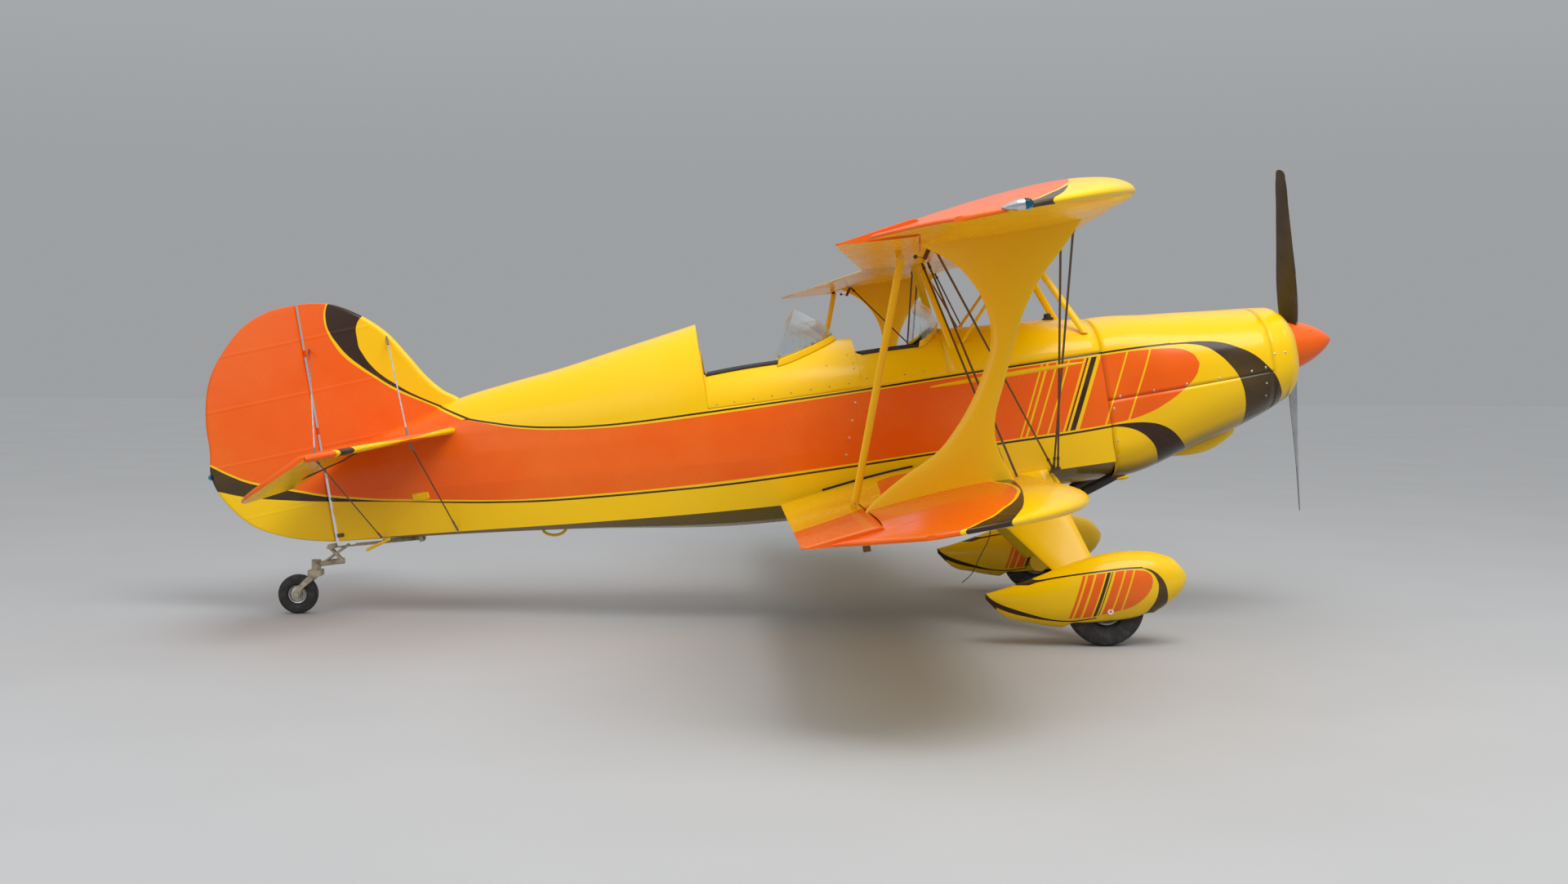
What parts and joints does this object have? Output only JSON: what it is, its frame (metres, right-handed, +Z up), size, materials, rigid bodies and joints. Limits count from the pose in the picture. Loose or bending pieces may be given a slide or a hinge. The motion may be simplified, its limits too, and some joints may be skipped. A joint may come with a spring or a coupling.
{
  "type": "two-seat aerobatic biplane",
  "caption": "Open-cockpit two-seat aerobatic biplane on faired main wheels and a tail wheel, with swept upper wing, I-struts, wire bracing and a two-blade propeller.",
  "frame": {"origin": "centre of the bounding box at the floor it stands on", "axes": "+X towards the nose, +Y towards the left wing, +Z up; it stands nose-up on its three wheels"},
  "size_m": [5.7878, 7.32, 2.2931],
  "materials": {
    "yellow_paint": "gloss",
    "orange_paint": "gloss",
    "brown_paint": "satin",
    "black_paint": "satin",
    "tyre_rubber": "matt",
    "bare_steel": "satin",
    "beige_steel": "satin",
    "seat_leather": "satin",
    "clear_glass": "clear"
  },
  "bodies": {
    "airframe": {"fuselage_tub": "yellow_paint", "rear_fuselage": "yellow_paint", "turtledeck": "yellow_paint", "cockpit_deck": "yellow_paint", "forward_deck": "yellow_paint", "cowl_upper": "yellow_paint", "cowl_lower": "yellow_paint", "nose_bowl": "yellow_paint", "air_scoop": "yellow_paint", "grab_handle": "yellow_paint", "strut_left": "yellow_paint", "cabane_left": "yellow_paint", "gear_leg_left": "yellow_paint", "wheel_pant_left": "yellow_paint", "lower_wing_left": "orange_paint", "tailplane_left": "orange_paint", "bracing_left": "bare_steel", "exhaust_pipe_left": "black_paint", "strut_right": "yellow_paint", "cabane_right": "yellow_paint", "gear_leg_right": "yellow_paint", "wheel_pant_right": "yellow_paint", "lower_wing_right": "orange_paint", "tailplane_right": "orange_paint", "bracing_right": "bare_steel", "exhaust_pipe_right": "black_paint", "upper_wing": "orange_paint", "fin": "orange_paint", "engine_block": "bare_steel", "tail_spring": "beige_steel", "front_windshield": "clear_glass", "rear_windshield": "clear_glass", "front_seat": "seat_leather", "rear_seat": "seat_leather", "front_panel": "black_paint", "rear_panel": "black_paint", "front_stick": "black_paint", "rear_stick": "black_paint"},
    "propeller": {"propeller": "brown_paint", "spinner": "orange_paint"},
    "main_wheel_left": {"main_wheel_left_tyre": "tyre_rubber", "main_wheel_left_rim": "bare_steel"},
    "main_wheel_right": {"main_wheel_right_tyre": "tyre_rubber", "main_wheel_right_rim": "bare_steel"},
    "tail_fork": {"tail_fork": "beige_steel"},
    "tail_wheel": {"tail_wheel_tyre": "tyre_rubber", "tail_wheel_rim": "bare_steel"},
    "rudder": {"rudder": "orange_paint"},
    "elevators": {"elevators": "orange_paint"},
    "aileron_upper_left": {"aileron_upper_left": "orange_paint"},
    "aileron_lower_left": {"aileron_lower_left": "orange_paint"},
    "aileron_link_left": {"aileron_link_left": "yellow_paint"},
    "aileron_upper_right": {"aileron_upper_right": "orange_paint"},
    "aileron_lower_right": {"aileron_lower_right": "orange_paint"},
    "aileron_link_right": {"aileron_link_right": "yellow_paint"}
  },
  "joints": [
    {"name": "propeller_spin", "type": "hinge", "parent": "airframe", "child": "propeller", "pos_m": [2.68483, 0, 1.40933], "axis": [0.9863, 0, 0.165], "continuous": true},
    {"name": "main_wheel_left_spin", "type": "hinge", "parent": "airframe", "child": "main_wheel_left", "pos_m": [1.53365, 0.978, 0.18], "axis": [0, 1, 0], "continuous": true},
    {"name": "main_wheel_right_spin", "type": "hinge", "parent": "airframe", "child": "main_wheel_right", "pos_m": [1.53365, -0.978, 0.18], "axis": [0, 1, 0], "continuous": true},
    {"name": "tail_fork_swivel", "type": "hinge", "parent": "airframe", "child": "tail_fork", "pos_m": [-2.33835, 0, 0.24], "axis": [0, 0, 1], "range_deg": [-40, 40]},
    {"name": "tail_wheel_spin", "type": "hinge", "parent": "tail_fork", "child": "tail_wheel", "pos_m": [-2.43035, 0, 0.1], "axis": [0, 1, 0], "continuous": true},
    {"name": "rudder_hinge", "type": "hinge", "parent": "airframe", "child": "rudder", "pos_m": [-2.31387, 0, 0.877], "axis": [-0.165, 0, 0.9863], "range_deg": [-30, 30]},
    {"name": "elevator_hinge", "type": "hinge", "parent": "airframe", "child": "elevators", "pos_m": [-2.11938, 0, 0.86595], "axis": [0, 1, 0], "range_deg": [0, 50]},
    {"name": "aileron_lower_right_hinge", "type": "hinge", "parent": "airframe", "child": "aileron_lower_right", "pos_m": [0.30053, -1.75, 0.69198], "axis": [0.0049, 0.9996, -0.0296], "range_deg": [-20, 20]},
    {"name": "aileron_lower_left_hinge", "type": "hinge", "parent": "airframe", "child": "aileron_lower_left", "pos_m": [0.30053, 1.75, 0.69198], "axis": [-0.0049, 0.9996, 0.0296], "range_deg": [-20, 20]},
    {"name": "aileron_upper_right_hinge", "type": "hinge", "parent": "airframe", "child": "aileron_upper_right", "pos_m": [0.54756, -1.75, 1.8094], "axis": [0.1031, 0.9945, 0.0173], "range_deg": [-20, 20]},
    {"name": "aileron_upper_left_hinge", "type": "hinge", "parent": "airframe", "child": "aileron_upper_left", "pos_m": [0.54756, 1.75, 1.8094], "axis": [-0.1031, 0.9945, -0.0173], "range_deg": [-20, 20]},
    {"name": "aileron_link_right_pivot", "type": "hinge", "parent": "aileron_lower_right", "child": "aileron_link_right", "pos_m": [0.26997, -2.27, 0.76554], "axis": [0.0049, 0.9996, -0.0296], "range_deg": [-22.7, 22.7]},
    {"name": "aileron_link_left_pivot", "type": "hinge", "parent": "aileron_lower_left", "child": "aileron_link_left", "pos_m": [0.26997, 2.27, 0.76554], "axis": [-0.0049, 0.9996, 0.0296], "range_deg": [-22.7, 22.7]}
  ],
  "couplings": [
    {"joint": "aileron_upper_right_hinge", "follows": "aileron_lower_right_hinge", "ratio": 1},
    {"joint": "aileron_lower_left_hinge", "follows": "aileron_lower_right_hinge", "ratio": -1},
    {"joint": "aileron_upper_left_hinge", "follows": "aileron_lower_right_hinge", "ratio": -1},
    {"joint": "aileron_link_right_pivot", "follows": "aileron_lower_right_hinge", "ratio": -1.132},
    {"joint": "aileron_link_left_pivot", "follows": "aileron_lower_right_hinge", "ratio": 1.132}
  ]
}
